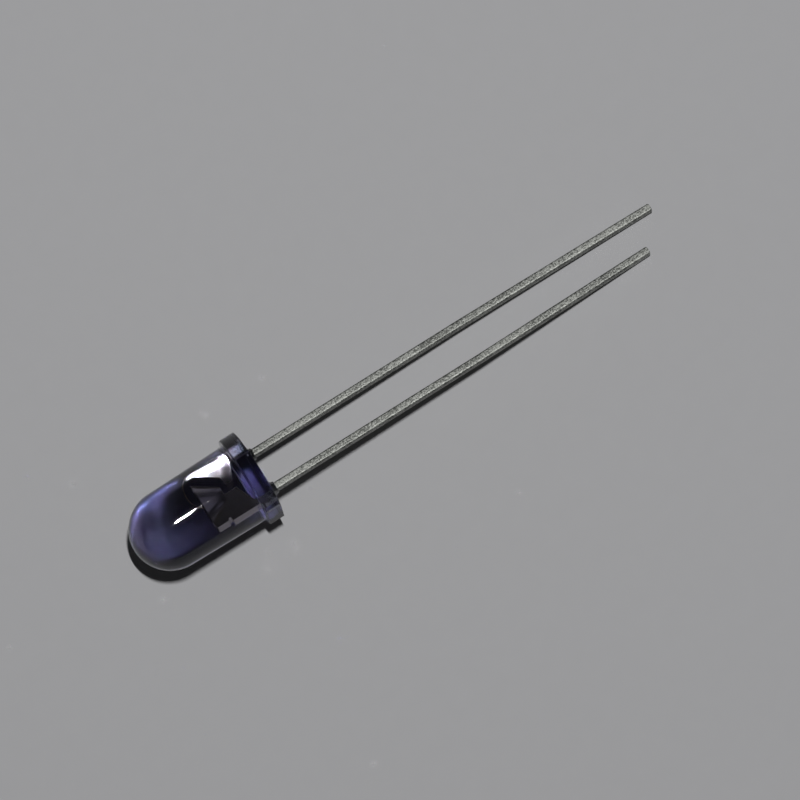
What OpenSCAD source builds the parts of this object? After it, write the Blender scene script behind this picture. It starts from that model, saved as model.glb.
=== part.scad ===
// Infrared LED, 5 mm round body with a domed lens and two long square leads.
// Every piece is drawn about the lens axis: Z points out of the dome, Z = 0 is the flange's
// back face, X runs from the anode lead to the cathode lead. lie_down() then lays the piece on
// the ground as the LED comes to rest, on the flange's rim and the tips of both leads.

/* [Lens body] */
// Diameter of the moulded barrel at the flange
barrel_d = 5.1; // [4.8:0.05:5.6]
// Angle at which the barrel narrows on each side towards the dome, to leave its mould
draft = 0.9; // [0.4:0.1:1.4]
// Height of the barrel's straight part above the flange
land_h = 0.6; // [0.4:0.1:1.2]
// Height of the body, from the flange's back face to the tip of the dome
body_h = 8.7; // [8.2:0.1:10]
// Width of the flange's step beyond the barrel
flange_step = 0.37; // [0.3:0.01:0.7]
// Thickness of the flange
flange_t = 1.0; // [0.6:0.05:1.6]
// Depth of the flat that marks the cathode, cut in from the flange's round edge
flat_depth = 0.2; // [0.05:0.05:0.35]
// Radius of the flange's front edge
flange_edge_r = 0.1; // [0.04:0.02:0.2]
// Radius of the fillet where the barrel meets the flange
barrel_fillet_r = 0.08; // [0.04:0.02:0.16]
// Height that the resin climbs up each lead behind the flange
meniscus_h = 0.42; // [0.2:0.02:0.8]
// Width of the climbing resin at its foot, beyond the lead's corners
meniscus_foot = 0.22; // [0.1:0.02:0.4]
// Width of the climbing resin at its end, beyond the lead's corners
meniscus_end = 0.03; // [0.01:0.01:0.08]

/* [Leads] */
// Side of the square leads, and thickness of the sheet they are stamped from
lead_w = 0.5; // [0.4:0.02:0.6]
// Distance between the centre lines of the leads
lead_pitch = 2.54; // [2.4:0.02:2.7]
// Length of the cathode lead behind the flange
cathode_l = 27.0; // [12:0.5:32]
// Extra length of the anode lead
anode_extra = 1.45; // [0.5:0.05:3]
// Share of the cathode's length, from the flange, over which both leads are straight
straight_share = 0.55; // [0.3:0.05:0.7]
// Lean of each lead's tip towards the other lead
toe_in = 0.29; // [0.1:0.01:0.4]
// Distance that the cathode's tip is bent down, and the anode's up, out of the frame's plane
tip_bend = 0.42; // [0.3:0.01:0.6]
// Bevel left by the cutter at the lead tips
tip_bevel = 0.06; // [0.02:0.01:0.12]

/* [Lead frame] */
// Height of the frame's top above the flange's back face
frame_top = 3.9; // [3.6:0.05:4.4]
// Height at which the cathode narrows inside the flange
waist_z = 0.7; // [0.5:0.05:0.75]
// Step of the cathode's outer side there
waist_step = 0.1; // [0.04:0.02:0.16]
// Height at which both plates start to widen from their leads
shoulder_z = 1.1; // [0.8:0.05:1.3]
// Height over which the plates widen
shoulder_rise = 0.5; // [0.3:0.05:0.7]
// Gap between the two plates
plate_gap = 0.3; // [0.2:0.02:0.5]
// Place of that gap, from the lens axis towards the anode
plate_gap_x = 0.12; // [0:0.02:0.2]
// Height of the anode's foot plate, beside the bottom of the cup
foot_top = 2.1; // [2:0.02:2.3]
// Radius of the corners stamped into the plates
corner_r = 0.15; // [0.05:0.01:0.2]
// Height of the notch that locks the cathode in the resin
notch_z = 2.93; // [2.7:0.05:3.1]
// Width of the locking notch
notch_w = 0.2; // [0.1:0.02:0.3]
// Depth of the locking notch
notch_depth = 0.25; // [0.1:0.01:0.3]
// Step of the cathode's head in from its outer side
head_inset = 0.12; // [0.04:0.02:0.2]

/* [Reflector cup] */
// Outer radius of the cup at its rim
cup_rim_r = 1.1; // [1:0.02:1.2]
// Outer radius of the cup at its bottom
cup_foot_r = 0.42; // [0.34:0.02:0.6]
// Height of the cup
cup_h = 1.45; // [1.2:0.05:1.7]
// Width of the flat rim around the dish
rim_land = 0.14; // [0.08:0.02:0.24]
// Depth of the reflecting dish
dish_depth = 0.75; // [0.5:0.05:0.9]
// Radius of the dish's floor
dish_floor_r = 0.42; // [0.38:0.02:0.5]
// Clearance between the cup's rim and the anode's post
post_gap = 0.2; // [0.12:0.02:0.26]
// Clearance between the cup's wall and the anode's plate, measured along X
wall_gap = 0.42; // [0.3:0.02:0.5]

/* [Emitter] */
// Side of the square emitter die
die_w = 0.36; // [0.28:0.02:0.4]
// Height of the die
die_h = 0.16; // [0.1:0.02:0.24]
// Thickness of the adhesive under the die
attach_t = 0.03; // [0.02:0.01:0.05]
// Height that the adhesive climbs up the die's sides
attach_climb = 0.04; // [0.02:0.01:0.06]
// Width of the adhesive beyond the die's corners, at the dish's floor
attach_rim = 0.1; // [0.06:0.02:0.12]

/* [Bond wire] */
// Diameter of the wire
wire_d = 0.04; // [0.03:0.005:0.06]
// Diameter of the ball bonded to the die
ball_d = 0.11; // [0.08:0.01:0.16]
// Height of the squashed ball
ball_h = 0.04; // [0.02:0.01:0.06]
// Diameter of the foot bonded to the anode's post
stitch_d = 0.12; // [0.08:0.01:0.16]
// Thickness of that foot
stitch_h = 0.03; // [0.02:0.005:0.05]
// Angle through which the wire's loop turns on its way to the post
loop_angle = 163; // [140:1:170]

/* [Hidden] */
$fn = 96;
WIRE_FN = 24;
ARC_STEPS = 8;
// Extra length of a cutting tool past the face it cuts
CUT = 1;

barrel_r = barrel_d / 2;
flange_r = barrel_r + flange_step;
land_z = flange_t + land_h;
// The dome touches the narrowing barrel without an edge
dome_r = (barrel_r * cos(draft) - (body_h - land_z) * sin(draft)) / (1 - sin(draft));
dome_z = body_h - dome_r;

lead_x = lead_pitch / 2;
outer_x = lead_x + lead_w / 2;
inner_x = lead_x - lead_w / 2;
lead_corner_r = lead_w / sqrt(2);
anode_l = cathode_l + anode_extra;
straight_l = straight_share * cathode_l;
tip_x = lead_x - toe_in;

cup_z = frame_top - cup_h;
cup_slope = (cup_rim_r - cup_foot_r) / cup_h;
dish_z = frame_top - dish_depth;
shoulder_top = shoulder_z + shoulder_rise;
cathode_edge_x = plate_gap / 2 - plate_gap_x;
anode_edge_x = plate_gap / 2 + plate_gap_x;
post_x = cup_rim_r + post_gap;

die_z = dish_z + attach_t;
die_top = die_z + die_h;
attach_r = die_w / sqrt(2) + attach_rim;
attach_top_r = die_w / sqrt(2) + attach_rim / 4;

bond_x = (post_x + outer_x) / 2;
loop_r = bond_x / (1 - cos(loop_angle));
loop_z = frame_top + stitch_h / 2 - loop_r * sin(loop_angle);

// The ground touches the flange's back rim and the lowest corner of both lead tips. Its downward
// normal in the LED's own axes is [side_lean, -drop, -1], and both come from those contacts:
// side_lean = lean_0 - lean_1 * drop puts both tips on it, and they reach reach_0 + reach_1 * drop.
lean_0 = anode_extra / (2 * tip_x);
lean_1 = tip_bend / tip_x;
reach_0 = (cathode_l + anode_l) / 2 - tip_bevel - lean_0 * lead_w / 2;
reach_1 = (1 + lean_1) * lead_w / 2;
drop_a = pow(flange_r, 2) * (1 + pow(lean_1, 2)) - pow(reach_1, 2);
drop_b = pow(flange_r, 2) * lean_0 * lean_1 + reach_0 * reach_1;
drop_c = pow(flange_r * lean_0, 2) - pow(reach_0, 2);
drop = (drop_b + sqrt(pow(drop_b, 2) - drop_a * drop_c)) / drop_a;
side_lean = lean_0 - lean_1 * drop;
rest_roll = atan2(side_lean, drop);
rest_tilt = atan2(1, norm([side_lean, drop]));

// The origin is under the middle of the resting LED
flat_half_angle = acos((flange_r - flat_depth) / flange_r);
near_y = -flange_r * cos(max(0, flat_half_angle - abs(rest_roll)));
dome_end_x = -dome_z * cos(rest_tilt) - dome_r;
tip_corner = [tip_x - lead_w / 2 + tip_bevel, tip_bend + lead_w / 2];
tip_top = tip_corner * [sin(rest_roll), cos(rest_roll)];
tip_end_x = anode_l * cos(rest_tilt) + tip_top * sin(rest_tilt);
rest_shift = [-(dome_end_x + tip_end_x) / 2, -(near_y + flange_r) / 2, flange_r * cos(rest_tilt)];

// Lays a piece on the ground, dome towards -X, leads towards +X
module lie_down() {
    translate(rest_shift)
        rotate([0, rest_tilt, 0])
            rotate([90, 0, -90])
                rotate([0, 0, -rest_roll])
                    children();
}

// Points of an arc about c, from angle a to angle b
function arc(c, r, a, b) =
    [for (i = [0 : ARC_STEPS]) let (t = a + (b - a) * i / ARC_STEPS) c + r * [cos(t), sin(t)]];

// Both sides of a lead's leg, from the flange to its tip, as the points of its outline
function outer_side(leg) =
    [[tip_x + lead_w / 2 - tip_bevel, -leg], [tip_x + lead_w / 2, tip_bevel - leg], [outer_x, -straight_l]];
function inner_side(leg) =
    [[inner_x, -straight_l], [tip_x - lead_w / 2, tip_bevel - leg], [tip_x - lead_w / 2 + tip_bevel, -leg]];

// Stamps a plate of the lead frame from its outline in X and Z, and bends its leg's tip along Y
module stamp(outline, leg, bend) {
    side = [[bend, -leg], [bend, tip_bevel - leg], [0, -straight_l], [0, frame_top]];
    half = [lead_w / 2, 0];
    intersection() {
        rotate([90, 0, 0])
            linear_extrude(height = 2 * flange_r, center = true)
                polygon(outline);
        rotate([90, 0, 90])
            linear_extrude(height = 2 * flange_r, center = true)
                polygon(concat([for (i = [0 : 3]) side[i] + half], [for (i = [3 : -1 : 0]) side[i] - half]));
    }
}

// Half of the lens body's section: barrel, dome, flange, its rounded edge and its fillet
module lens_section() {
    touch = [dome_r * cos(draft), dome_z + dome_r * sin(draft)];
    difference() {
        union() {
            square([flange_r, flange_t]);
            polygon([[0, 0], [barrel_r, 0], [barrel_r, land_z], touch, [0, touch[1]]]);
            translate([0, dome_z])
                circle(r = dome_r);
            translate([barrel_r, flange_t])
                square(barrel_fillet_r);
        }
        translate([barrel_r + barrel_fillet_r, flange_t + barrel_fillet_r])
            circle(r = barrel_fillet_r);
        translate([flange_r - flange_edge_r, flange_t - flange_edge_r])
            difference() {
                square(flange_edge_r + CUT);
                circle(r = flange_edge_r);
            }
        translate([-barrel_r - CUT, 0])
            square([barrel_r + CUT, body_h + CUT]);
    }
}

// Resin drawn up a lead behind the flange, with a hollow side like a liquid's edge
module meniscus() {
    foot_r = lead_corner_r + meniscus_foot;
    end_r = lead_corner_r + meniscus_end;
    rotate_extrude()
        difference() {
            translate([0, -meniscus_h])
                square([foot_r, meniscus_h]);
            translate([end_r + meniscus_h, -meniscus_h])
                circle(r = meniscus_h);
        }
}

// The moulding with nothing in it
module lens_moulding() {
    difference() {
        rotate_extrude()
            lens_section();
        translate([flange_r - flat_depth, -flange_r - CUT, -CUT])
            cube([flat_depth + CUT, 2 * (flange_r + CUT), flange_t + CUT]);
    }
    for (side = [-1, 1])
        translate([side * lead_x, 0, 0])
            meniscus();
}

// Short lead with the locking notch, the wide plate and the reflector cup that holds the die
module cathode_frame() {
    plate_x = outer_x - waist_step;
    head_x = plate_x - head_inset;
    notch_x = plate_x - notch_depth;
    difference() {
        union() {
            stamp(concat(
                outer_side(cathode_l),
                [[outer_x, waist_z], [plate_x, waist_z + waist_step]],
                [[plate_x, notch_z - notch_w / 2], [notch_x, notch_z - notch_w / 2]],
                [[notch_x, notch_z + notch_w / 2], [head_x, notch_z + notch_w / 2]],
                arc([head_x - corner_r, frame_top - corner_r], corner_r, 0, 90),
                [[cathode_edge_x, frame_top]],
                arc([cathode_edge_x + corner_r, shoulder_top + corner_r], corner_r, 180, 225),
                [[inner_x, shoulder_z]],
                inner_side(cathode_l)
            ), cathode_l, -tip_bend);
            translate([0, 0, cup_z])
                cylinder(h = cup_h, r1 = cup_foot_r, r2 = cup_rim_r);
        }
        translate([0, 0, dish_z])
            cylinder(h = dish_depth, r1 = dish_floor_r, r2 = cup_rim_r - rim_land);
    }
}

// Long lead with the foot plate beside the cup and the post that takes the wire
module anode_frame() {
    wall_angle = atan(cup_slope);
    bend_z = cup_z + (post_x - wall_gap - cup_foot_r) / cup_slope;
    foot_x = cup_foot_r + wall_gap - cup_slope * (cup_z - foot_top);
    fillet_run = corner_r * tan((90 - wall_angle) / 2);
    mirror([1, 0, 0])
        stamp(concat(
            [[inner_x, shoulder_z], [anode_edge_x, shoulder_top]],
            arc([anode_edge_x + corner_r, foot_top - corner_r], corner_r, 180, 90),
            arc([foot_x - fillet_run, foot_top + corner_r], corner_r, 270, 360 - wall_angle),
            [[post_x, bend_z], [post_x, frame_top], [outer_x, frame_top]],
            [for (i = [2 : -1 : 0]) outer_side(anode_l)[i]],
            [for (i = [2 : -1 : 0]) inner_side(anode_l)[i]]
        ), anode_l, tip_bend);
}

// Square chip on its bed of adhesive
module die_block() {
    translate([-die_w / 2, -die_w / 2, die_z])
        cube([die_w, die_w, die_h]);
}

// Adhesive squeezed out around the die
module attach_bed() {
    difference() {
        translate([0, 0, dish_z])
            cylinder(h = attach_t + attach_climb, r1 = attach_r, r2 = attach_top_r);
        die_block();
    }
}

// Ball on the die, straight rise, round loop over the cup's rim, foot on the post
module wire_loop() {
    translate([0, 0, die_top])
        cylinder(h = ball_h, d = ball_d);
    translate([0, 0, die_top])
        cylinder(h = loop_z - die_top, d = wire_d, $fn = WIRE_FN);
    translate([-loop_r, 0, loop_z])
        rotate([90, 0, 0])
            rotate_extrude(angle = loop_angle)
                translate([loop_r, 0])
                    circle(d = wire_d, $fn = WIRE_FN);
    translate([-bond_x, 0, frame_top])
        cylinder(h = stitch_h, d = stitch_d);
}

module lens_body() {
    color([0.17, 0.15, 0.32, 0.7])
        lie_down()
            difference() {
                lens_moulding();
                cathode_frame();
                anode_frame();
                die_block();
                attach_bed();
                wire_loop();
            }
}

module cathode_lead() {
    color("silver")
        lie_down()
            cathode_frame();
}

module anode_lead() {
    color("silver")
        lie_down()
            anode_frame();
}

module emitter_die() {
    color("dimgray")
        lie_down()
            die_block();
}

module die_attach() {
    color("lightgray")
        lie_down()
            attach_bed();
}

module bond_wire() {
    color("gold")
        lie_down()
            wire_loop();
}

lens_body();
cathode_lead();
anode_lead();
emitter_die();
die_attach();
bond_wire();
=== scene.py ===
"""Looks of a 5 mm infrared LED: smoky blue resin moulded over a stamped and plated lead frame.

Each piece is modelled about the lens axis with one unit to the millimetre: Z points out of the
dome, Z = 0 is the flange's back face, and X runs from the anode lead to the cathode lead. It is
then laid on the ground, at its real size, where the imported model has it.
"""

import math

import bmesh
import bpy
from bpy.props import FloatProperty, FloatVectorProperty, IntProperty, PointerProperty
from mathutils import Matrix, Vector


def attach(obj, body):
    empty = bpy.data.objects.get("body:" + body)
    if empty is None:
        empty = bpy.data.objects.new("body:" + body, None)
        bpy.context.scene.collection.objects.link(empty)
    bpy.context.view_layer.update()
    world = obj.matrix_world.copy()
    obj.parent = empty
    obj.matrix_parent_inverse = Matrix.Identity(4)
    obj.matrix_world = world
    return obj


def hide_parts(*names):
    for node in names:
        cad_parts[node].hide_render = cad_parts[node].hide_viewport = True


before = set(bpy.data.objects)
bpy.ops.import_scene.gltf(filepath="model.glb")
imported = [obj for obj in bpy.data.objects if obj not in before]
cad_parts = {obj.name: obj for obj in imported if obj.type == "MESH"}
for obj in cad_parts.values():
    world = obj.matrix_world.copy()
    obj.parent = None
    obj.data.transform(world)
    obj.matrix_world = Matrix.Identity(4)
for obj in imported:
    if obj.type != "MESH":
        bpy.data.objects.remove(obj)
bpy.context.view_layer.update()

bl_info = {
    "name": "Infrared LED",
    "version": (1, 0, 0),
    "blender": (4, 5, 0),
    "location": "View3D > Sidebar > Infrared LED",
    "description": "Models and finishes the pieces of a 5 mm infrared LED",
    "category": "Add Mesh",
}

MM = 0.001
MERGE = 1e-4
TOUCH = 1e-3


def length(name, millimetres, description):
    """A length setting, given in millimetres and kept in metres."""
    return FloatProperty(
        name=name, description=description, default=millimetres * MM, min=0.0,
        unit="LENGTH", precision=5,
    )


def count(name, number, description):
    """A setting for how finely a round is divided."""
    return IntProperty(name=name, description=description, default=number, min=3)


def colour(name, rgb, description):
    """A colour setting."""
    return FloatVectorProperty(
        name=name, description=description, default=rgb, min=0.0, max=1.0, size=3,
        subtype="COLOR",
    )


def share(name, number, description):
    """A setting from nothing to all."""
    return FloatProperty(
        name=name, description=description, default=number, min=0.0, max=1.0, subtype="FACTOR"
    )


def angle(name, degrees, description):
    """An angle setting, given in degrees and kept in radians."""
    return FloatProperty(
        name=name, description=description, default=math.radians(degrees), unit="ROTATION"
    )


class LensSettings(bpy.types.PropertyGroup):
    """Sizes and tint of the moulded resin."""

    barrel_d: length("Barrel", 5.1, "Diameter of the moulded barrel at the flange")
    draft: angle("Draft", 0.9, "Angle at which the barrel narrows towards the dome")
    land_h: length("Land", 0.6, "Height of the barrel's straight part above the flange")
    body_h: length("Height", 8.7, "From the flange's back face to the tip of the dome")
    flange_step: length("Flange step", 0.37, "Width of the flange beyond the barrel")
    flange_t: length("Flange thickness", 1.0, "Thickness of the flange")
    flat_depth: length("Flat", 0.2, "Depth of the flat that marks the cathode")
    flange_edge_r: length("Front edge", 0.1, "Radius of the flange's front edge")
    flange_back_r: length("Back edge", 0.03, "Radius of the flange's back edge")
    barrel_fillet_r: length("Fillet", 0.08, "Radius where the barrel meets the flange")
    meniscus_h: length("Resin climb", 0.42, "Height of the resin drawn up each lead")
    meniscus_foot: length("Climb foot", 0.22, "Width of that resin at the flange")
    meniscus_end: length("Climb end", 0.03, "Width of that resin at its end")
    segments: count("Segments", 160, "Facets around the barrel")
    tint: colour("Tint", (0.20, 0.20, 0.48), "Colour that the resin lets through")
    density: FloatProperty(
        name="Density", default=305.0, min=0.0,
        description="How strongly a metre of resin takes up light",
    )
    ior: FloatProperty(
        name="Refraction", default=1.45, min=1.0, description="Refractive index of the resin"
    )


class LeadSettings(bpy.types.PropertyGroup):
    """Sizes and plating of the two leads."""

    lead_w: length("Width", 0.5, "Side of the square leads and thickness of the sheet")
    lead_pitch: length("Pitch", 2.54, "Distance between the centre lines of the leads")
    cathode_l: length("Cathode length", 27.0, "Length of the short lead behind the flange")
    anode_extra: length("Anode extra", 1.45, "How much longer the other lead is")
    straight: share("Straight", 0.55, "Share of the cathode's length where the leads are straight")
    toe_in: length("Toe in", 0.29, "Lean of each lead's tip towards the other lead")
    tip_bend: length("Bend", 0.42, "How far the cathode's tip is bent down and the anode's up")
    tip_bevel: length("Tip bevel", 0.06, "Bevel left by the cutter at the tips")
    edge_r: length("Edges", 0.06, "Radius of the stamped edges")
    leg_r: length("Leg edges", 0.11, "Radius of the long edges of the legs")
    bright: colour("Bright tin", (0.46, 0.47, 0.442), "Colour of the clean plating")
    dull: colour("Dull tin", (0.13, 0.134, 0.125), "Colour of the grey grain in the plating")
    silver: colour("Silver", (0.60, 0.56, 0.46), "Colour of the frame inside the resin")


class FrameSettings(bpy.types.PropertyGroup):
    """Sizes of the stamped plates inside the resin."""

    frame_top: length("Top", 3.9, "Height of the frame's top above the flange's back face")
    waist_z: length("Waist", 0.7, "Height at which the cathode narrows inside the flange")
    frame_inset: length("Waist step", 0.1, "Step of the cathode in from its outer side")
    shoulder_z: length("Shoulder", 1.1, "Height at which the plates start to widen")
    shoulder_rise: length("Shoulder rise", 0.5, "Height over which the plates widen")
    plate_gap: length("Gap", 0.3, "Gap between the two plates")
    plate_gap_x: length("Gap place", 0.12, "Place of the gap towards the anode")
    foot_top: length("Foot", 2.1, "Height of the anode's foot plate")
    corner_r: length("Corners", 0.15, "Radius of the corners stamped into the plates")
    notch_z: length("Notch", 2.93, "Height of the notch that locks the cathode")
    notch_w: length("Notch width", 0.2, "Width of the locking notch")
    notch_depth: length("Notch depth", 0.25, "Depth of the locking notch")
    head_inset: length("Head", 0.12, "Step of the cathode's head in from the lead's side")
    cup_rim_r: length("Cup rim", 1.1, "Outer radius of the reflector cup at its rim")
    cup_foot_r: length("Cup foot", 0.42, "Outer radius of the cup at its bottom")
    cup_h: length("Cup height", 1.45, "Height of the cup")
    rim_land: length("Rim", 0.14, "Width of the flat rim around the dish")
    dish_depth: length("Dish", 0.75, "Depth of the reflecting dish")
    dish_floor_r: length("Dish floor", 0.42, "Radius of the dish's floor")
    post_gap: length("Post gap", 0.2, "Clearance between the cup's rim and the anode's post")
    wall_gap: length("Wall gap", 0.42, "Clearance between the cup's wall and the anode")


class EmitterSettings(bpy.types.PropertyGroup):
    """Sizes and colours of the die, its adhesive and its wire."""

    die_w: length("Die", 0.36, "Side of the square emitter die")
    die_h: length("Die height", 0.16, "Height of the die")
    attach_t: length("Adhesive", 0.03, "Thickness of the adhesive under the die")
    attach_climb: length("Adhesive climb", 0.04, "Height of the adhesive at the die's sides")
    attach_rim: length("Adhesive rim", 0.1, "Width of the adhesive beyond the die's corners")
    wire_d: length("Wire", 0.04, "Diameter of the bond wire")
    ball_d: length("Ball", 0.11, "Diameter of the ball bonded to the die")
    ball_h: length("Ball height", 0.04, "Height of the squashed ball")
    stitch_d: length("Foot", 0.12, "Diameter of the foot bonded to the anode's post")
    stitch_h: length("Foot height", 0.03, "Thickness of that foot")
    loop_angle: angle("Loop", 163.0, "Angle through which the wire's loop turns")
    chip: colour("Chip", (0.16, 0.16, 0.19), "Colour of the semiconductor")
    adhesive: colour("Adhesive", (0.62, 0.62, 0.60), "Colour of the silver-filled adhesive")
    gold: colour("Gold", (0.86, 0.62, 0.24), "Colour of the bond wire")


class StageSettings(bpy.types.PropertyGroup):
    """Floor, light and camera."""

    floor: colour("Floor", (0.42, 0.42, 0.43), "Colour of the floor")
    fill: share("Fill", 0.03, "Strength of the even light from all round")
    key: FloatProperty(
        name="Key", default=1.2, min=0.0, unit="POWER",
        description="Power of the small lamp beside the camera",
    )
    key_w: length("Key width", 30.0, "Size of the lamp across the LED")
    key_l: length("Key height", 2.3, "Size of the lamp along the LED")
    key_distance: length("Key distance", 400.0, "Distance of the lamp from the lens")
    focal: FloatProperty(
        name="Focal length", default=347.12, min=1.0, unit="CAMERA",
        description="Focal length of the camera",
    )


class LedSettings(bpy.types.PropertyGroup):
    """All settings of the LED."""

    lens: PointerProperty(type=LensSettings)
    leads: PointerProperty(type=LeadSettings)
    plates: PointerProperty(type=FrameSettings)
    emitter: PointerProperty(type=EmitterSettings)
    stage: PointerProperty(type=StageSettings)


class Millimetres:
    """Reads groups of settings, with their lengths in millimetres."""

    def __init__(self, *groups):
        self.groups = groups

    def __getattr__(self, name):
        for group in self.groups:
            rna = group.bl_rna.properties.get(name)
            if rna is not None:
                value = getattr(group, name)
                return value / MM if rna.unit == "LENGTH" else value
        raise AttributeError(f"no setting is named {name}")


def sizes():
    """Every size of the LED in millimetres."""
    led = bpy.context.scene.led
    return Millimetres(led.lens, led.leads, led.plates, led.emitter)


def dome_radius(s):
    """Radius of the dome that touches the narrowing barrel without an edge."""
    rise = s.body_h - s.flange_t - s.land_h
    lean = math.sin(s.draft)
    return (s.barrel_d / 2 * math.cos(s.draft) - rise * lean) / (1 - lean)


def resting_place():
    """Takes the LED's own axes, in millimetres, to where it lies on the ground, in metres.

    The ground touches the flange's back rim and the lowest corner of both lead tips."""
    s = sizes()
    barrel_r = s.barrel_d / 2
    flange_r = barrel_r + s.flange_step
    half_w = s.lead_w / 2
    anode_l = s.cathode_l + s.anode_extra
    tip_x = s.lead_pitch / 2 - s.toe_in
    lean_0 = s.anode_extra / (2 * tip_x)
    lean_1 = s.tip_bend / tip_x
    reach_0 = (s.cathode_l + anode_l) / 2 - s.tip_bevel - lean_0 * half_w
    reach_1 = (1 + lean_1) * half_w
    a = flange_r**2 * (1 + lean_1**2) - reach_1**2
    b = flange_r**2 * lean_0 * lean_1 + reach_0 * reach_1
    c = (flange_r * lean_0) ** 2 - reach_0**2
    drop = (b + math.sqrt(b * b - a * c)) / a
    lean = lean_0 - lean_1 * drop
    roll = math.atan2(lean, drop)
    tilt = math.atan2(1, math.hypot(lean, drop))

    flat_angle = math.acos((flange_r - s.flat_depth) / flange_r)
    near_y = -flange_r * math.cos(max(0, flat_angle - abs(roll)))
    dome_r = dome_radius(s)
    dome_x = -(s.body_h - dome_r) * math.cos(tilt) - dome_r
    tip_top = (tip_x - half_w + s.tip_bevel) * math.sin(roll) + (s.tip_bend + half_w) * math.cos(roll)
    tip_end = anode_l * math.cos(tilt) + tip_top * math.sin(tilt)
    shift = Vector((-(dome_x + tip_end) / 2, -(near_y + flange_r) / 2, flange_r * math.cos(tilt)))
    return (
        Matrix.Scale(MM, 4)
        @ Matrix.Translation(shift)
        @ Matrix.Rotation(tilt, 4, "Y")
        @ Matrix.Rotation(math.radians(-90), 4, "Z")
        @ Matrix.Rotation(math.radians(90), 4, "X")
        @ Matrix.Rotation(-roll, 4, "Z")
    )


# Modelling


def start(name, primitive, **values):
    """Adds a primitive at its size and place, as a new piece in edit mode."""
    bpy.ops.object.select_all(action="DESELECT")
    primitive(**values)
    piece = bpy.context.object
    piece.name = piece.data.name = name
    bpy.ops.object.transform_apply(location=True, rotation=True, scale=True)
    bpy.ops.object.mode_set(mode="EDIT")
    return piece


def pick(piece, kind, test):
    """Selects the vertices, edges or faces whose points all pass the test."""
    bpy.ops.mesh.select_mode(type=kind)
    bpy.ops.mesh.select_all(action="DESELECT")
    mesh = bmesh.from_edit_mesh(piece.data)
    for element in {"VERT": mesh.verts, "EDGE": mesh.edges, "FACE": mesh.faces}[kind]:
        points = [element.co] if kind == "VERT" else [v.co for v in element.verts]
        element.select_set(all(test(p) for p in points))
    mesh.select_flush_mode()
    bmesh.update_edit_mesh(piece.data)


def near(a, b):
    """True if two sizes are the same but for rounding."""
    return abs(a - b) < TOUCH


def extrude(shift, scale=(1, 1, 1), about=(0, 0, 0)):
    """Extrudes what is selected by a shift, then scales it about a point."""
    bpy.ops.mesh.extrude_region_move(TRANSFORM_OT_translate={"value": shift})
    if tuple(scale) != (1, 1, 1):
        bpy.ops.transform.resize(value=scale, center_override=about)


def rings(profile):
    """Extrudes the selected ring about Z through (radius, height) points, from the first on."""
    for (r0, z0), (r1, z1) in zip(profile, profile[1:]):
        extrude((0, 0, z1 - z0), (r1 / r0, r1 / r0, 1), (0, 0, z1))


def levels(steps):
    """Extrudes the selected end face through (height, side, side) steps, from the first on."""
    for (z0, a0, b0), (z1, a1, b1) in zip(steps, steps[1:]):
        middle = (a1 + b1) / 2
        extrude(
            (middle - (a0 + b0) / 2, 0, z1 - z0), ((b1 - a1) / (b0 - a0), 1, 1), (middle, 0, z1)
        )


def leave_edit():
    """Merges doubles, turns the faces outwards and leaves edit mode."""
    bpy.ops.mesh.select_all(action="SELECT")
    bpy.ops.mesh.remove_doubles(threshold=MERGE)
    bpy.ops.mesh.normals_make_consistent(inside=False)
    bpy.ops.object.mode_set(mode="OBJECT")


def combine(piece, tool, operation):
    """Joins a tool to a piece, or cuts it out, and deletes the tool."""
    bpy.context.view_layer.objects.active = piece
    bpy.ops.object.modifier_add(type="BOOLEAN")
    modifier = piece.modifiers[-1]
    modifier.object = tool
    modifier.operation = operation
    modifier.solver = "EXACT"
    bpy.ops.object.modifier_apply(modifier=modifier.name)
    bpy.data.objects.remove(tool)


def round_edges(piece, radius, segments, sharpness=35):
    """Rounds a piece's sharp edges with a bevel."""
    bpy.context.view_layer.objects.active = piece
    bpy.ops.object.modifier_add(type="BEVEL")
    modifier = piece.modifiers[-1]
    modifier.width = radius
    modifier.segments = segments
    modifier.limit_method = "ANGLE"
    modifier.angle_limit = math.radians(sharpness)
    bpy.ops.object.modifier_apply(modifier=modifier.name)


def hand_over(piece, finish, node, smooth=35):
    """Lays a finished piece on the ground, where it stands for its CAD node."""
    bpy.ops.object.select_all(action="DESELECT")
    piece.select_set(True)
    bpy.context.view_layer.objects.active = piece
    bpy.ops.object.shade_smooth_by_angle(angle=math.radians(smooth))
    bpy.ops.object.modifier_add(type="WEIGHTED_NORMAL")
    modifier = piece.modifiers[-1]
    modifier.keep_sharp = True
    bpy.ops.object.modifier_apply(modifier=modifier.name)
    piece.matrix_world = resting_place()
    bpy.ops.object.transform_apply(location=True, rotation=True, scale=True)
    piece.data.materials.clear()
    piece.data.materials.append(finish)
    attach(piece, "root")
    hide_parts(node)


def arc(centre, radius, first, last, steps=6):
    """Points of an arc about a centre, from one angle to another in degrees."""
    turns = [math.radians(first + (last - first) * i / steps) for i in range(steps + 1)]
    return [(centre[0] + radius * math.cos(t), centre[1] + radius * math.sin(t)) for t in turns]


# Finishes


class Socket:
    """An output of a node, which adds Math nodes when it takes part in an expression."""

    def __init__(self, finish, socket):
        self.finish = finish
        self.socket = socket

    def math(self, operation, *values):
        return self.finish.node("Math", {"operation": operation}, dict(enumerate(values)))

    def __add__(self, other):
        return self.math("ADD", self, other)

    __radd__ = __add__

    def __sub__(self, other):
        return self.math("SUBTRACT", self, other)

    def __rsub__(self, other):
        return self.math("SUBTRACT", other, self)

    def __mul__(self, other):
        return self.math("MULTIPLY", self, other)

    __rmul__ = __mul__

    def step(self, low, high):
        """Goes smoothly from 0 at the low value to 1 at the high one."""
        return self.finish.node(
            "MapRange", {"interpolation_type": "SMOOTHSTEP"},
            {"Value": self, "From Min": low, "From Max": high},
        )


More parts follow.
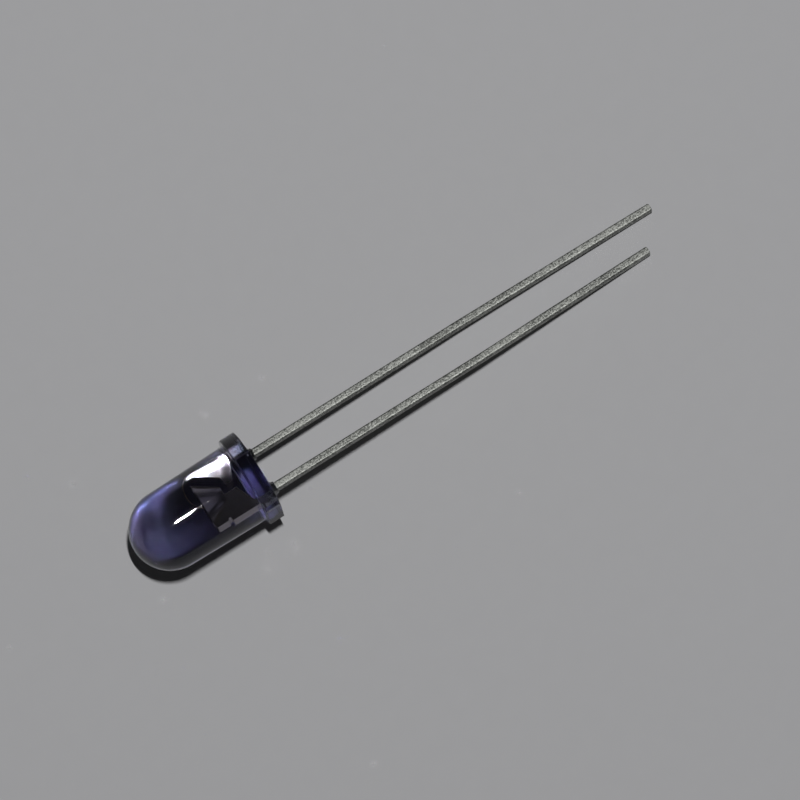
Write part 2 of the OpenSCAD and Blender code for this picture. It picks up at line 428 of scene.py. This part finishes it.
class Finish:
    """One material and the nodes it is made of."""

    def __init__(self, name):
        self.material = bpy.data.materials.new(name)
        self.material.use_nodes = True
        self.tree = self.material.node_tree
        self.tree.nodes.clear()
        self.output = self.tree.nodes.new("ShaderNodeOutputMaterial")

    def node(self, kind, settings=None, inputs=None, output=0):
        """Adds a node of a kind, with its settings, and fills or links its inputs."""
        node = self.tree.nodes.new("ShaderNode" + kind)
        for name, value in (settings or {}).items():
            setattr(node, name, value)
        for name, value in (inputs or {}).items():
            if isinstance(value, Socket):
                self.tree.links.new(value.socket, node.inputs[name])
            else:
                node.inputs[name].default_value = value
        return Socket(self, node.outputs[output])

    def place(self):
        """Where on the piece a point is, in metres."""
        return self.node("TexCoord", output="Object")

    def noise(self, grain, detail=2.0, stretch=(1, 1, 1)):
        """Noise with grains of a size in millimetres, longer along an axis by its stretch."""
        where = self.node(
            "VectorMath", {"operation": "MULTIPLY"},
            {0: self.place(), 1: tuple(1 / (grain * MM * s) for s in stretch)},
        )
        return self.node(
            "TexNoise", None, {"Vector": where, "Scale": 1.0, "Detail": detail}, "Fac"
        )

    def mix(self, factor, first, second):
        """Goes from the first colour to the second."""
        return self.node(
            "Mix", {"data_type": "RGBA"},
            {0: factor, 6: rgba(first), 7: rgba(second)}, output=2,
        )

    def bump(self, height, depth, strength=1.0):
        """The normal of a surface raised by a height of 0 to 1, times a depth in millimetres."""
        return self.node(
            "Bump", None, {"Height": height, "Distance": depth * MM, "Strength": strength},
            "Normal",
        )

    def surface(self, **values):
        """Ends the material in a shader with the given inputs."""
        inputs = {name.replace("_", " ").title(): value for name, value in values.items()}
        if "Ior" in inputs:
            inputs["IOR"] = inputs.pop("Ior")
        shader = self.node("BsdfPrincipled", None, inputs)
        self.tree.links.new(shader.socket, self.output.inputs["Surface"])
        return self.material

    def volume(self, tint, density):
        """Fills the material with a tint that takes up light."""
        shader = self.node(
            "VolumeAbsorption", None, {"Color": rgba(tint), "Density": density}
        )
        self.tree.links.new(shader.socket, self.output.inputs["Volume"])


def rgba(value):
    """A colour with its alpha, or a socket as it is."""
    return value if isinstance(value, Socket) else (*value, 1.0)


def resin_finish():
    """Smoky blue resin, glossy from the mould, with faint flow marks and specks of dust."""
    lens = bpy.context.scene.led.lens
    finish = Finish("tinted_resin")
    flow = finish.noise(0.9, 2.0, (3, 1, 1))
    dust = finish.noise(0.06, 1.0).step(0.66, 0.74)
    finish.volume(tuple(lens.tint), lens.density)
    return finish.surface(
        base_color=finish.mix(dust, (0.97, 0.97, 1.0), (0.80, 0.80, 0.84)),
        roughness=0.003 + flow * 0.004 + dust * 0.02,
        normal=finish.bump(flow, 0.0003),
        transmission_weight=1.0,
        ior=lens.ior,
    )


def plating_finish():
    """Dull tin with a sandy grain on the leads, smooth silver on the frame inside the resin."""
    leads = bpy.context.scene.led.leads
    finish = Finish("tinned_steel_plating")
    sand = finish.noise(0.12, 3.0)
    fine = finish.noise(0.06, 2.0)
    drawn = finish.noise(0.08, 2.0, (14, 1, 1))
    patch = finish.noise(0.9, 2.0, (2, 1, 1))
    along = finish.node("SeparateXYZ", None, {"Vector": finish.place()}, "X")
    flange_back = resting_place() @ Vector((0, 0, 0))
    outside = along.step(flange_back.x - 1.1 * MM, flange_back.x - 0.1 * MM)
    grain = (sand * 0.5 + fine * 0.3 + patch * 0.2).step(0.41, 0.59)
    tin = finish.mix(grain, tuple(leads.dull), tuple(leads.bright))
    colour_all = finish.mix(outside, tuple(leads.silver), tin)
    rough_tin = 0.46 + grain * 0.08 + patch * 0.10
    rough_silver = 0.18 + drawn * 0.10
    relief = outside * (grain * 0.8 + fine * 0.2) + (1 - outside) * drawn * 0.15
    return finish.surface(
        base_color=colour_all,
        metallic=1.0,
        roughness=outside * rough_tin + (1 - outside) * rough_silver,
        normal=finish.bump(relief, 0.008, 0.8),
    )


def chip_finish():
    """Dark semiconductor with fine saw marks."""
    emitter = bpy.context.scene.led.emitter
    finish = Finish("emitter_chip")
    sawn = finish.noise(0.02, 2.0, (6, 1, 1))
    return finish.surface(
        base_color=finish.mix(sawn, tuple(emitter.chip), tuple(c * 1.6 for c in emitter.chip)),
        metallic=0.35,
        roughness=0.22 + sawn * 0.25,
        normal=finish.bump(sawn, 0.002),
    )


def adhesive_finish():
    """Grey adhesive full of silver flakes."""
    emitter = bpy.context.scene.led.emitter
    finish = Finish("silver_filled_adhesive")
    flake = finish.noise(0.012, 2.0).step(0.42, 0.58)
    return finish.surface(
        base_color=finish.mix(flake, tuple(c * 0.6 for c in emitter.adhesive), tuple(emitter.adhesive)),
        metallic=0.6,
        roughness=0.45 + flake * 0.2,
        normal=finish.bump(flake, 0.003),
    )


def gold_finish():
    """Drawn gold wire."""
    emitter = bpy.context.scene.led.emitter
    finish = Finish("gold_wire")
    drawn = finish.noise(0.01, 2.0, (4, 1, 1))
    return finish.surface(
        base_color=finish.mix(drawn, tuple(c * 0.85 for c in emitter.gold), tuple(emitter.gold)),
        metallic=1.0,
        roughness=0.2 + drawn * 0.12,
    )


def floor_finish():
    """Plain pale floor."""
    finish = Finish("plain_floor")
    mottle = finish.noise(1.2, 3.0)
    pale = tuple(bpy.context.scene.led.stage.floor)
    return finish.surface(
        base_color=finish.mix(mottle, tuple(c * 0.97 for c in pale), pale), roughness=0.9
    )


# Pieces


def lead_legs(s, side):
    """The height and the two sides of a lead's leg, from its tip to where it widens."""
    leg = s.cathode_l if side > 0 else s.cathode_l + s.anode_extra
    inner = s.lead_pitch / 2 - s.lead_w / 2
    outer = s.lead_pitch / 2 + s.lead_w / 2
    toe = s.toe_in
    steps = [
        (-leg, inner - toe + s.tip_bevel, outer - toe - s.tip_bevel),
        (s.tip_bevel - leg, inner - toe, outer - toe),
        (-s.straight * s.cathode_l, inner, outer),
    ]
    return [(z, side * a, side * b) for z, a, b in steps]


def pick_legs(piece, top):
    """Selects the long edges of a lead's leg, from its tip up to a height."""
    bpy.ops.mesh.select_mode(type="EDGE")
    bpy.ops.mesh.select_all(action="DESELECT")
    mesh = bmesh.from_edit_mesh(piece.data)
    for edge in mesh.edges:
        heights = [v.co.z for v in edge.verts]
        edge.select_set(max(heights) < top + TOUCH and not near(*heights))
    mesh.select_flush_mode()
    bmesh.update_edit_mesh(piece.data)


def stamp(name, steps, thickness, bend, radius):
    """Stamps a plate by taking a thin slab at its tip through its steps.

    The tip is bent, and the long edges of the leg are rounded."""
    z, a, b = steps[0]
    start_h = steps[1][0] - z
    piece = start(
        name, bpy.ops.mesh.primitive_cube_add, size=1,
        location=((a + b) / 2, 0, z - start_h / 2), scale=(abs(b - a), thickness, start_h),
    )
    pick(piece, "FACE", lambda p: near(p.z, z - start_h))
    bpy.ops.mesh.delete(type="FACE")
    pick(piece, "FACE", lambda p: near(p.z, z))
    levels(steps)
    pick(piece, "VERT", lambda p: near(p.z, z - start_h))
    bpy.ops.transform.translate(value=(0, 0, start_h))
    bpy.ops.mesh.select_all(action="SELECT")
    bpy.ops.mesh.remove_doubles(threshold=MERGE)
    pick(piece, "EDGE", lambda p: near(p.z, z))
    bpy.ops.mesh.edge_face_add()
    pick(piece, "VERT", lambda p: p.z < steps[1][0] + TOUCH)
    bpy.ops.transform.translate(value=(0, bend, 0))
    pick_legs(piece, steps[3][0])
    bpy.ops.mesh.bevel(offset=radius, segments=4, affect="EDGES")
    leave_edit()
    return piece


class LED_OT_cathode_lead(bpy.types.Operator):
    """Short lead with its locking notch, wide plate and reflector cup"""

    bl_idname = "led.cathode_lead"
    bl_label = "Cathode lead"

    def execute(self, context):
        s = sizes()
        inner = s.lead_pitch / 2 - s.lead_w / 2
        outer = s.lead_pitch / 2 + s.lead_w / 2 - s.frame_inset
        head = outer - s.head_inset
        edge = s.plate_gap / 2 - s.plate_gap_x
        shoulder_top = s.shoulder_z + s.shoulder_rise
        notch_low = s.notch_z - s.notch_w / 2
        notch_high = s.notch_z + s.notch_w / 2
        notch_x = outer - s.notch_depth
        slant = 0.02
        corner = arc((head - s.corner_r, s.frame_top - s.corner_r), s.corner_r, 0, 80)
        steps = lead_legs(s, 1) + [
            (s.waist_z, inner, outer + s.frame_inset),
            (s.waist_z + s.frame_inset, inner, outer),
            (s.shoulder_z, inner, outer),
            (shoulder_top, edge, outer),
            (notch_low - slant, edge, outer),
            (notch_low + slant, edge, notch_x),
            (notch_high - slant, edge, notch_x),
            (notch_high + slant, edge, head),
            *[(z, edge, x) for x, z in corner],
            (s.frame_top, edge, head - s.corner_r),
        ]
        piece = stamp("cathode_lead_plated", steps, s.lead_w, -s.tip_bend, s.leg_r)

        cup = start(
            "cup", bpy.ops.mesh.primitive_cone_add, vertices=64, radius1=s.cup_foot_r,
            radius2=s.cup_rim_r, depth=s.cup_h, location=(0, 0, s.frame_top - s.cup_h / 2),
        )
        leave_edit()
        combine(piece, cup, "UNION")
        opening = s.cup_rim_r - s.rim_land
        over = 0.1
        widening = (opening - s.dish_floor_r) / s.dish_depth
        dish = start(
            "dish", bpy.ops.mesh.primitive_cone_add, vertices=64, radius1=s.dish_floor_r,
            radius2=opening + widening * over, depth=s.dish_depth + over,
            location=(0, 0, s.frame_top - (s.dish_depth - over) / 2),
        )
        leave_edit()
        combine(piece, dish, "DIFFERENCE")
        round_edges(piece, s.edge_r, 2)
        hand_over(piece, plating_finish(), "cathode_lead")
        return {"FINISHED"}


class LED_OT_anode_lead(bpy.types.Operator):
    """Long lead with the foot plate beside the cup and the post that takes the wire"""

    bl_idname = "led.anode_lead"
    bl_label = "Anode lead"

    def execute(self, context):
        s = sizes()
        inner = s.lead_pitch / 2 - s.lead_w / 2
        outer = s.lead_pitch / 2 + s.lead_w / 2
        edge = s.plate_gap / 2 + s.plate_gap_x
        slope = (s.cup_rim_r - s.cup_foot_r) / s.cup_h
        cup_z = s.frame_top - s.cup_h
        wall = math.degrees(math.atan(slope))
        post = s.cup_rim_r + s.post_gap
        bend_z = cup_z + (post - s.wall_gap - s.cup_foot_r) / slope
        foot = s.cup_foot_r + s.wall_gap - slope * (cup_z - s.foot_top)
        run = s.corner_r * math.tan(math.radians(90 - wall) / 2)
        outline = [
            (inner, s.shoulder_z),
            (edge, s.shoulder_z + s.shoulder_rise),
            *arc((edge + s.corner_r, s.foot_top - s.corner_r), s.corner_r, 180, 100),
            *arc((foot - run, s.foot_top + s.corner_r), s.corner_r, 275, 360 - wall),
            (post, bend_z),
            (post, s.frame_top),
        ]
        steps = lead_legs(s, -1) + [(z, -x, -outer) for x, z in outline]
        piece = stamp("anode_lead_plated", steps, s.lead_w, s.tip_bend, s.leg_r)
        round_edges(piece, s.edge_r, 2)
        hand_over(piece, plating_finish(), "anode_lead")
        return {"FINISHED"}


class LED_OT_lens_body(bpy.types.Operator):
    """Moulded resin with its dome, barrel, flange, flat and the resin drawn up the leads"""

    bl_idname = "led.lens_body"
    bl_label = "Lens body"

    def execute(self, context):
        s = sizes()
        barrel_r = s.barrel_d / 2
        flange_r = barrel_r + s.flange_step
        dome_r = dome_radius(s)
        dome_z = s.body_h - dome_r
        touch_r = dome_r * math.cos(s.draft)
        touch_z = dome_z + dome_r * math.sin(s.draft)
        flat_x = flange_r - s.flat_depth
        piece = start(
            "lens_resin", bpy.ops.mesh.primitive_uv_sphere_add, segments=s.segments,
            ring_count=s.segments // 2, radius=dome_r, location=(0, 0, dome_z),
        )
        bpy.ops.mesh.select_all(action="SELECT")
        bpy.ops.mesh.bisect(plane_co=(0, 0, touch_z), plane_no=(0, 0, 1), clear_inner=True)
        pick(piece, "EDGE", lambda p: near(p.z, touch_z))
        rings([
            (touch_r, touch_z), (barrel_r, s.flange_t + s.land_h), (barrel_r, s.flange_t),
            (flange_r, s.flange_t), (flange_r, 0),
        ])
        bpy.ops.mesh.edge_face_add()
        bpy.ops.mesh.select_all(action="SELECT")
        bpy.ops.mesh.bisect(
            plane_co=(flat_x, 0, 0), plane_no=(1, 0, 0), use_fill=True, clear_outer=True
        )

        def on_edge(p):
            return math.hypot(p.x, p.y) > flat_x - TOUCH

        for radius, segments, test in (
            (s.flange_edge_r, 5, lambda p: near(p.z, s.flange_t) and on_edge(p)),
            (s.flange_back_r, 3, lambda p: near(p.z, 0) and on_edge(p)),
            (s.barrel_fillet_r, 5,
             lambda p: near(p.z, s.flange_t) and near(math.hypot(p.x, p.y), barrel_r)),
        ):
            pick(piece, "EDGE", test)
            bpy.ops.mesh.bevel(offset=radius, segments=segments, affect="EDGES")
        leave_edit()

        foot_r = s.lead_w / math.sqrt(2) + s.meniscus_foot
        end_r = s.lead_w / math.sqrt(2) + s.meniscus_end
        hollow = arc((end_r + s.meniscus_h, -s.meniscus_h), s.meniscus_h, 90, 180, 10)
        outline = [p for p in hollow if p[0] < foot_r]
        for side in (-1, 1):
            x = side * s.lead_pitch / 2
            climb = start(
                "climb", bpy.ops.mesh.primitive_circle_add, vertices=48, radius=foot_r,
                fill_type="NGON", location=(0, 0, 0.2),
            )
            bpy.ops.mesh.select_all(action="SELECT")
            rings([(foot_r, 0.2), (foot_r, outline[0][1]), *outline])
            leave_edit()
            climb.location.x = x
            bpy.context.view_layer.update()
            combine(piece, climb, "UNION")
        hand_over(piece, resin_finish(), "lens_body", 30)
        return {"FINISHED"}


class LED_OT_emitter_die(bpy.types.Operator):
    """Emitter chip with the contact pad on its top"""

    bl_idname = "led.emitter_die"
    bl_label = "Emitter die"

    def execute(self, context):
        s = sizes()
        bottom = s.frame_top - s.dish_depth + s.attach_t
        mesa_h = 0.02
        piece = start(
            "emitter_chip", bpy.ops.mesh.primitive_cube_add, size=1,
            location=(0, 0, bottom + (s.die_h - mesa_h) / 2),
            scale=(s.die_w, s.die_w, s.die_h - mesa_h),
        )
        pick(piece, "FACE", lambda p: near(p.z, bottom + s.die_h - mesa_h))
        bpy.ops.mesh.inset(thickness=0.03)
        extrude((0, 0, mesa_h))
        leave_edit()
        round_edges(piece, 0.006, 2)
        hand_over(piece, chip_finish(), "emitter_die")
        return {"FINISHED"}


class LED_OT_die_attach(bpy.types.Operator):
    """Adhesive squeezed out around the chip"""

    bl_idname = "led.die_attach"
    bl_label = "Die attach"

    def execute(self, context):
        s = sizes()
        floor_z = s.frame_top - s.dish_depth
        corner = s.die_w / math.sqrt(2)
        top_r = corner + s.attach_rim / 4
        height = s.attach_t + s.attach_climb
        piece = start(
            "die_adhesive", bpy.ops.mesh.primitive_cone_add, vertices=48,
            radius1=corner + s.attach_rim, radius2=top_r, depth=height,
            location=(0, 0, floor_z + height / 2),
        )
        leave_edit()
        seat = start(
            "seat", bpy.ops.mesh.primitive_cube_add, size=1,
            location=(0, 0, floor_z + s.attach_t + s.die_h / 2),
            scale=(s.die_w, s.die_w, s.die_h),
        )
        leave_edit()
        combine(piece, seat, "DIFFERENCE")
        round_edges(piece, 0.008, 2)
        hand_over(piece, adhesive_finish(), "die_attach")
        return {"FINISHED"}


class LED_OT_bond_wire(bpy.types.Operator):
    """Gold wire from the ball on the chip, over the cup's rim, to its foot on the post"""

    bl_idname = "led.bond_wire"
    bl_label = "Bond wire"

    def execute(self, context):
        s = sizes()
        die_top = s.frame_top - s.dish_depth + s.attach_t + s.die_h
        outer = s.lead_pitch / 2 + s.lead_w / 2
        bond_x = (s.cup_rim_r + s.post_gap + outer) / 2
        loop_r = bond_x / (1 - math.cos(s.loop_angle))
        loop_z = s.frame_top + s.stitch_h / 2 - loop_r * math.sin(s.loop_angle)
        piece = start(
            "gold_bond_wire", bpy.ops.mesh.primitive_circle_add, vertices=16,
            radius=s.wire_d / 2, fill_type="NGON", location=(0, 0, die_top),
        )
        bpy.ops.mesh.select_all(action="SELECT")
        extrude((0, 0, loop_z - die_top))
        bpy.ops.mesh.spin(
            steps=48, angle=s.loop_angle, center=(-loop_r, 0, loop_z), axis=(0, 1, 0)
        )
        leave_edit()
        for x, z, width, height in (
            (0, die_top, s.ball_d, s.ball_h), (-bond_x, s.frame_top, s.stitch_d, s.stitch_h)
        ):
            pad = start(
                "pad", bpy.ops.mesh.primitive_cylinder_add, vertices=32, radius=width / 2,
                depth=height, location=(x, 0, z + height / 2),
            )
            pick(pad, "EDGE", lambda p: near(p.z, z + height))
            bpy.ops.mesh.bevel(offset=height * 0.6, segments=4, affect="EDGES")
            leave_edit()
            combine(piece, pad, "UNION")
        hand_over(piece, gold_finish(), "bond_wire")
        return {"FINISHED"}


class LED_OT_stage(bpy.types.Operator):
    """Plain floor, soft light all round, one small lamp beside the camera, and the camera"""

    bl_idname = "led.stage"
    bl_label = "Stage"

    def execute(self, context):
        scene = context.scene
        stage = scene.led.stage
        scene.view_settings.view_transform = "Standard"
        scene.cycles.use_guiding = True
        scene.cycles.min_light_bounces = 8
        scene.cycles.blur_glossy = 0.05
        scene.cycles.sample_clamp_indirect = 0.0

        bpy.ops.object.select_all(action="DESELECT")
        bpy.ops.mesh.primitive_plane_add(size=6.0, location=(0, 0, 0))
        floor = context.object
        floor.name = "floor"
        floor.data.materials.append(floor_finish())

        world = bpy.data.worlds.new("even_light")
        world.use_nodes = True
        background = world.node_tree.nodes["Background"]
        background.inputs["Color"].default_value = (1.0, 1.0, 1.0, 1.0)
        background.inputs["Strength"].default_value = stage.fill
        scene.world = world

        right = Vector((0.84671506, -0.53199917, 0.0071058))
        up = Vector((0.5318428, 0.84668485, 0.01637064))
        back = Vector((-0.01472554, -0.0100821, 0.99984074))
        eye = Vector((-7.13265623, -5.38250002, 461.99175736)) * MM
        camera_data = bpy.data.cameras.new("camera")
        camera_data.lens = stage.focal
        camera_data.sensor_width = 36.0
        camera_data.clip_start = 0.01
        camera_data.clip_end = 20.0
        camera = bpy.data.objects.new("camera", camera_data)
        camera.matrix_world = Matrix.Translation(eye) @ Matrix((right, up, back)).transposed().to_4x4()
        scene.collection.objects.link(camera)
        scene.camera = camera

        lens_middle = resting_place() @ Vector((0, 0, 4.5))
        along = 0.852 * right + 0.523 * up
        across = 0.523 * right - 0.852 * up
        towards = (
            back + math.tan(math.radians(8.69)) * along - math.tan(math.radians(8.5)) * across
        ).normalized()
        lamp_data = bpy.data.lights.new("key", "AREA")
        lamp_data.energy = stage.key
        lamp_data.shape = "RECTANGLE"
        lamp_data.size = stage.key_w
        lamp_data.size_y = stage.key_l
        lamp = bpy.data.objects.new("key", lamp_data)
        side = along.cross(towards).normalized()
        length_way = towards.cross(side)
        lamp.matrix_world = (
            Matrix.Translation(lens_middle + towards * stage.key_distance)
            @ Matrix((side, length_way, towards)).transposed().to_4x4()
        )
        scene.collection.objects.link(lamp)
        return {"FINISHED"}


class LED_PT_pieces(bpy.types.Panel):
    """Lists the pieces of the LED"""

    bl_idname = "LED_PT_pieces"
    bl_label = "Infrared LED"
    bl_space_type = "VIEW_3D"
    bl_region_type = "UI"
    bl_category = "Infrared LED"

    def draw(self, context):
        for operator in PIECES:
            self.layout.operator(operator.bl_idname)


PIECES = (
    LED_OT_stage,
    LED_OT_lens_body,
    LED_OT_cathode_lead,
    LED_OT_anode_lead,
    LED_OT_emitter_die,
    LED_OT_die_attach,
    LED_OT_bond_wire,
)
CLASSES = (
    LensSettings,
    LeadSettings,
    FrameSettings,
    EmitterSettings,
    StageSettings,
    LedSettings,
    *PIECES,
    LED_PT_pieces,
)


def register():
    for each in CLASSES:
        bpy.utils.register_class(each)
    bpy.types.Scene.led = PointerProperty(type=LedSettings)


def unregister():
    del bpy.types.Scene.led
    for each in reversed(CLASSES):
        bpy.utils.unregister_class(each)


def main():
    register()
    bpy.ops.led.stage()
    bpy.ops.led.lens_body()
    bpy.ops.led.cathode_lead()
    bpy.ops.led.anode_lead()
    bpy.ops.led.emitter_die()
    bpy.ops.led.die_attach()
    bpy.ops.led.bond_wire()


if __name__ == "__main__":
    main()
